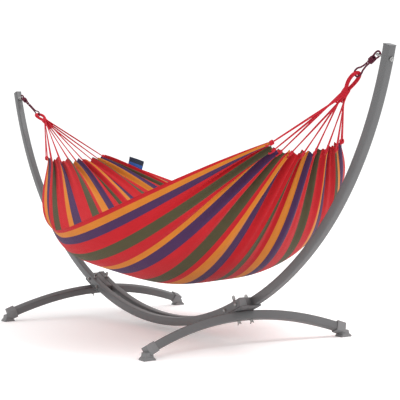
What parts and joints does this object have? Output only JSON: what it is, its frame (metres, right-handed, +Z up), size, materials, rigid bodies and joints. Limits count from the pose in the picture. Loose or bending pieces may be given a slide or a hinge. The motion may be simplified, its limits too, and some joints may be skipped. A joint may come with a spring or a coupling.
{
  "type": "hammock on stand",
  "caption": "Striped cloth hammock hung by ropes and clew cords between the tips of a curved steel stand with arched cross legs.",
  "frame": {"origin": "on the ground, under the middle of the stand", "axes": "+X along the arms towards the tip of the right arm, +Y along the legs to the back, +Z up"},
  "size_m": [3.2356, 1.1714, 1.1778],
  "materials": {
    "painted_steel": "satin grey powder coat",
    "grey_plastic": "moulded grey plastic",
    "zinc": "zinc plated",
    "maroon_rope": "twisted rope",
    "crimson_cord": "braided cord",
    "striped_fabric": "woven cotton with lengthwise stripes",
    "label_fabric": "woven label"
  },
  "bodies": {
    "stand": {"right_arm": "painted_steel", "right_arm_top_cap": "grey_plastic", "right_arm_end_cap": "grey_plastic", "right_spacer": "painted_steel", "right_saddle": "painted_steel", "right_leg": "painted_steel", "right_foot_back": "grey_plastic", "right_foot_front": "grey_plastic", "right_clamp_bolt_1": "zinc", "right_clamp_nut_1": "zinc", "right_saddle_bolt_1": "zinc", "right_wing_nut_1": "zinc", "right_clamp_bolt_2": "zinc", "right_clamp_nut_2": "zinc", "right_saddle_bolt_2": "zinc", "right_wing_nut_2": "zinc", "right_eye_hook": "zinc", "right_eye_hook_nut": "zinc", "left_arm": "painted_steel", "left_arm_top_cap": "grey_plastic", "left_arm_end_cap": "grey_plastic", "left_spacer": "painted_steel", "left_saddle": "painted_steel", "left_leg": "painted_steel", "left_foot_back": "grey_plastic", "left_foot_front": "grey_plastic", "left_clamp_bolt_1": "zinc", "left_clamp_nut_1": "zinc", "left_saddle_bolt_1": "zinc", "left_wing_nut_1": "zinc", "left_clamp_bolt_2": "zinc", "left_clamp_nut_2": "zinc", "left_saddle_bolt_2": "zinc", "left_wing_nut_2": "zinc", "left_eye_hook": "zinc", "left_eye_hook_nut": "zinc"},
    "left_sling": {"left_rope": "maroon_rope"},
    "hammock": {"right_end_loop": "crimson_cord", "left_end_loop": "crimson_cord", "right_clew_cord_1": "crimson_cord", "left_clew_cord_1": "crimson_cord", "right_clew_cord_2": "crimson_cord", "left_clew_cord_2": "crimson_cord", "right_clew_cord_3": "crimson_cord", "left_clew_cord_3": "crimson_cord", "right_clew_cord_4": "crimson_cord", "left_clew_cord_4": "crimson_cord", "right_clew_cord_5": "crimson_cord", "left_clew_cord_5": "crimson_cord", "right_clew_cord_6": "crimson_cord", "left_clew_cord_6": "crimson_cord", "right_clew_cord_7": "crimson_cord", "left_clew_cord_7": "crimson_cord", "right_clew_cord_8": "crimson_cord", "left_clew_cord_8": "crimson_cord", "right_clew_cord_9": "crimson_cord", "left_clew_cord_9": "crimson_cord", "hammock_bed": "striped_fabric", "label": "label_fabric"},
    "right_sling": {"right_rope": "maroon_rope"}
  },
  "joints": [
    {"name": "swing", "type": "hinge", "parent": "stand", "child": "left_sling", "pos_m": [-1.53356, -0.031, 1.14302], "axis": [0.9998, 0.0202, 0], "range_deg": [-25, 25]},
    {"name": "roll", "type": "hinge", "parent": "left_sling", "child": "hammock", "pos_m": [-1.376, -0.006, 1.04], "axis": [0.9999, 0.005, 0.0152], "range_deg": [-12, 12]},
    {"name": "right_sling_swing", "type": "hinge", "parent": "stand", "child": "right_sling", "pos_m": [1.53356, 0.031, 1.14302], "axis": [0.9998, 0.0202, 0], "range_deg": [-25, 25]}
  ],
  "couplings": [
    {"joint": "right_sling_swing", "follows": "swing", "ratio": 1}
  ]
}
